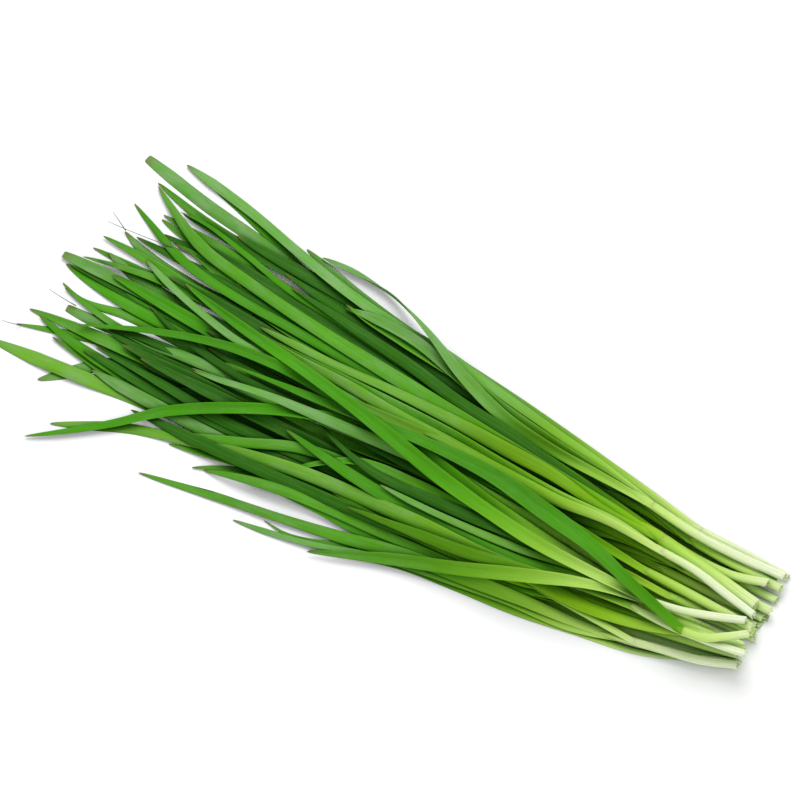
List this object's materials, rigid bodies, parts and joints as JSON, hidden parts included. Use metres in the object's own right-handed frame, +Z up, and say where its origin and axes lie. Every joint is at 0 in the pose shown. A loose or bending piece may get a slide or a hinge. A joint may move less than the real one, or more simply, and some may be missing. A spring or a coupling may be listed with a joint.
{
  "type": "garlic chive bunch",
  "caption": "Loose bunch of fresh garlic chives lying flat: pale cut stems at one end, long flat green leaves fanning out to narrow tips at the other.",
  "frame": {"origin": "middle of the bunch's bounding box, on the table surface it lies on", "axes": "+X from the cut stem ends towards the leaf tips, +Y across the bunch, +Z up from the table"},
  "size_m": [0.3224, 0.1348, 0.0184],
  "materials": {
    "stem": "smooth, moist, whitish green",
    "stem_olive": "smooth, moist, pale olive green",
    "leaf": "satin, waxy, fine lengthwise veins, deep green",
    "leaf_light": "satin, waxy, fine lengthwise veins, fresh green"
  },
  "bodies": {
    "root": {"far_edge_leaves": "leaf_light", "far_edge_stem": "stem", "far_green_leaves": "leaf", "far_green_stem": "stem_olive", "far_pale_leaves": "leaf", "far_pale_stem": "stem_olive", "far_white_leaves": "leaf_light", "far_white_stem": "stem", "low_a_leaves": "leaf", "low_a_stem": "stem_olive", "low_b_leaves": "leaf", "low_b_stem": "stem_olive", "low_c_leaves": "leaf", "low_c_stem": "stem_olive", "low_d_leaves": "leaf", "low_d_stem": "stem_olive", "low_e_leaves": "leaf", "low_e_stem": "stem_olive", "low_f_leaves": "leaf", "low_f_stem": "stem_olive", "low_g_leaves": "leaf", "low_g_stem": "stem_olive", "low_h_leaves": "leaf", "low_h_stem": "stem_olive", "mid_a_leaves": "leaf", "mid_a_stem": "stem_olive", "mid_c_leaves": "leaf", "mid_c_stem": "stem_olive", "mid_e_leaves": "leaf", "mid_e_stem": "stem_olive", "middle_olive_leaves": "leaf", "middle_olive_stem": "stem_olive", "middle_white_leaves": "leaf_light", "middle_white_stem": "stem", "near_edge_leaves": "leaf_light", "near_edge_stem": "stem", "near_grey_leaves": "leaf", "near_grey_stem": "stem_olive", "near_light_leaves": "leaf", "near_light_stem": "stem_olive", "near_olive_leaves": "leaf", "near_olive_stem": "stem_olive", "near_tall_leaves": "leaf_light", "near_tall_stem": "stem", "near_white_leaves": "leaf_light", "near_white_stem": "stem", "top_olive_leaves": "leaf", "top_olive_stem": "stem_olive", "top_white_leaves": "leaf_light", "top_white_stem": "stem"}
  },
  "joints": []
}
